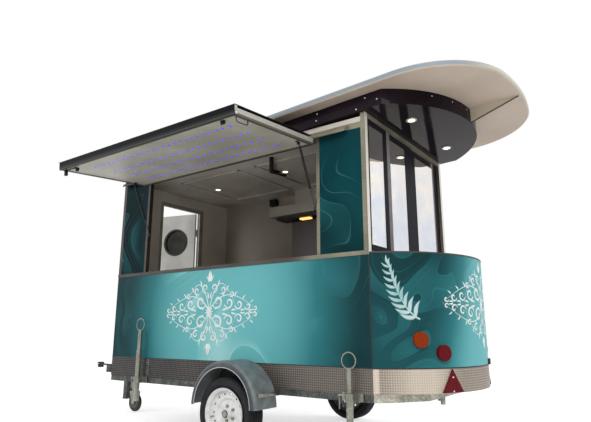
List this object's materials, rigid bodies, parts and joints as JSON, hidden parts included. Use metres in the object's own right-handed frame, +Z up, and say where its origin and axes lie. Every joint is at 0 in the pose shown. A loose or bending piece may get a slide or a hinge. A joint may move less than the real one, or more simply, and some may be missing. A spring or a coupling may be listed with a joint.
{
  "type": "food trailer",
  "caption": "Two-wheeled food trailer with a side serving hatch, a rounded rear bar under a glazed wall, a flat overhanging roof, a front door and a jockey wheel.",
  "frame": {"origin": "on the ground, on the centreline, straight under the wheel axle", "axes": "+X forward to the coupling, +Y to the serving hatch side, +Z up"},
  "size_m": [5.353, 2.846, 2.7726],
  "materials": {
    "galvanised": "galvanised, dull",
    "black_steel": "black paint",
    "plywood": "sealed board",
    "brown_board": "dark brown laminate",
    "chequer": "chequer plate",
    "teal_panel": "printed film in teal shades",
    "profile": "plain extrusion",
    "white_panel": "smooth white sandwich panel",
    "black_frame": "black, satin",
    "glass": "clear, reflecting",
    "black_gloss": "near black, glossy",
    "rod": "polished",
    "rubber": "worn black",
    "caster_rubber": "black",
    "white_steel": "white paint",
    "mudguard": "dark grey, slightly shiny",
    "amber": "amber lens",
    "red": "red lens",
    "lamp": "white rim, lit lens"
  },
  "bodies": {
    "trailer": {"rails": "galvanised", "crossmembers": "galvanised", "drawbar": "galvanised", "bow_beam": "galvanised", "floor_bearers": "plywood", "floor_panel": "plywood", "skirt": "chequer", "skirt_bow": "chequer", "side_lower_panels": "teal_panel", "sill_bars": "profile", "side_upper_panels": "teal_panel", "body_posts": "profile", "opening_header": "profile", "front_wall": "white_panel", "door_frame": "profile", "bow_wall": "teal_panel", "bar_counter": "plywood", "rear_bars": "profile", "glazing_sashes": "black_frame", "glazing_panes": "glass", "ceiling_panel": "white_panel", "canopy_core": "black_gloss", "fascia_sides": "black_gloss", "fascia_rear": "black_gloss", "roof_panel": "white_panel", "roof_gusset": "black_gloss", "hinge_profile": "profile", "axle_tube": "galvanised", "axle_arms": "black_steel", "mudguards": "mudguard", "coupling_head": "black_steel", "leg_clamps": "galvanised", "rear_lamps_amber": "amber", "rear_lamps_red": "red", "downlights": "lamp", "drawbar_stand": "galvanised", "mudguard_stays": "galvanised", "interior_hood": "white_panel", "tall_cupboard": "brown_board"},
    "hatch": {"hatch_frame": "profile", "hatch_panel": "white_panel", "hatch_brackets": "black_frame"},
    "strut_cylinder_rear": {"strut_cylinder_rear": "black_frame"},
    "strut_rod_rear": {"strut_rod_rear": "rod"},
    "strut_cylinder_front": {"strut_cylinder_front": "black_frame"},
    "strut_rod_front": {"strut_rod_front": "rod"},
    "door": {"door_leaf": "white_panel", "porthole_glass": "glass", "door_fittings": "black_frame"},
    "wheel_left": {"tyre_left": "rubber", "rim_left": "white_steel"},
    "wheel_right": {"tyre_right": "rubber", "rim_right": "white_steel"},
    "prop_front_left": {"prop_front_left": "galvanised"},
    "prop_front_right": {"prop_front_right": "galvanised"},
    "prop_rear_left": {"prop_rear_left": "galvanised"},
    "prop_rear_right": {"prop_rear_right": "galvanised"},
    "jockey_leg": {"jockey_leg": "galvanised"},
    "jockey_fork": {"jockey_fork": "galvanised"},
    "jockey_wheel": {"jockey_wheel": "caster_rubber"}
  },
  "joints": [
    {"name": "hatch_hinge", "type": "hinge", "parent": "trailer", "child": "hatch", "pos_m": [0.3, 0.855, 2.405], "axis": [-1, 0, 0], "range_deg": [0, 86]},
    {"name": "strut_cylinder_rear_turn", "type": "hinge", "parent": "hatch", "child": "strut_cylinder_rear", "pos_m": [-0.71, 1.00801, 2.32814], "axis": [-1, 0, 0], "range_deg": [-113, 0]},
    {"name": "strut_rod_rear_slide", "type": "slide", "parent": "strut_cylinder_rear", "child": "strut_rod_rear", "axis": [0, -0.4139, -0.9103], "range_m": [-0.133, 0]},
    {"name": "strut_cylinder_front_turn", "type": "hinge", "parent": "hatch", "child": "strut_cylinder_front", "pos_m": [1.313, 1.00801, 2.32814], "axis": [-1, 0, 0], "range_deg": [-113, 0]},
    {"name": "strut_rod_front_slide", "type": "slide", "parent": "strut_cylinder_front", "child": "strut_rod_front", "axis": [0, -0.4139, -0.9103], "range_m": [-0.133, 0]},
    {"name": "door_hinge", "type": "hinge", "parent": "trailer", "child": "door", "pos_m": [1.774, -0.285, 1.5], "axis": [0, 0, 1], "range_deg": [-30, 75]},
    {"name": "wheel_left_spin", "type": "hinge", "parent": "trailer", "child": "wheel_left", "pos_m": [0, 0.936, 0.2745], "axis": [0, 1, 0], "continuous": true},
    {"name": "wheel_right_spin", "type": "hinge", "parent": "trailer", "child": "wheel_right", "pos_m": [0, -0.936, 0.2745], "axis": [0, 1, 0], "continuous": true},
    {"name": "prop_front_left_slide", "type": "slide", "parent": "trailer", "child": "prop_front_left", "axis": [0, 0, 1], "range_m": [-0.261, 0]},
    {"name": "prop_front_right_slide", "type": "slide", "parent": "trailer", "child": "prop_front_right", "axis": [0, 0, 1], "range_m": [-0.261, 0]},
    {"name": "prop_rear_left_slide", "type": "slide", "parent": "trailer", "child": "prop_rear_left", "axis": [0, 0, 1], "range_m": [0, 0.261]},
    {"name": "prop_rear_right_slide", "type": "slide", "parent": "trailer", "child": "prop_rear_right", "axis": [0, 0, 1], "range_m": [-0.261, 0]},
    {"name": "jockey_leg_slide", "type": "slide", "parent": "trailer", "child": "jockey_leg", "axis": [0, 0, 1], "range_m": [0, 0.18]},
    {"name": "jockey_swivel", "type": "hinge", "parent": "jockey_leg", "child": "jockey_fork", "pos_m": [2.295, 0.095, 0.218], "axis": [0, 0, 1], "continuous": true},
    {"name": "jockey_wheel_spin", "type": "hinge", "parent": "jockey_fork", "child": "jockey_wheel", "pos_m": [2.26, 0.095, 0.1], "axis": [0, 1, 0], "continuous": true}
  ],
  "couplings": [
    {"joint": "strut_cylinder_rear_turn", "follows": "hatch_hinge", "ratio": -1.281},
    {"joint": "strut_rod_rear_slide", "follows": "hatch_hinge", "m_per_rad": -0.08595},
    {"joint": "strut_cylinder_front_turn", "follows": "hatch_hinge", "ratio": -1.281},
    {"joint": "strut_rod_front_slide", "follows": "hatch_hinge", "m_per_rad": -0.08595}
  ]
}
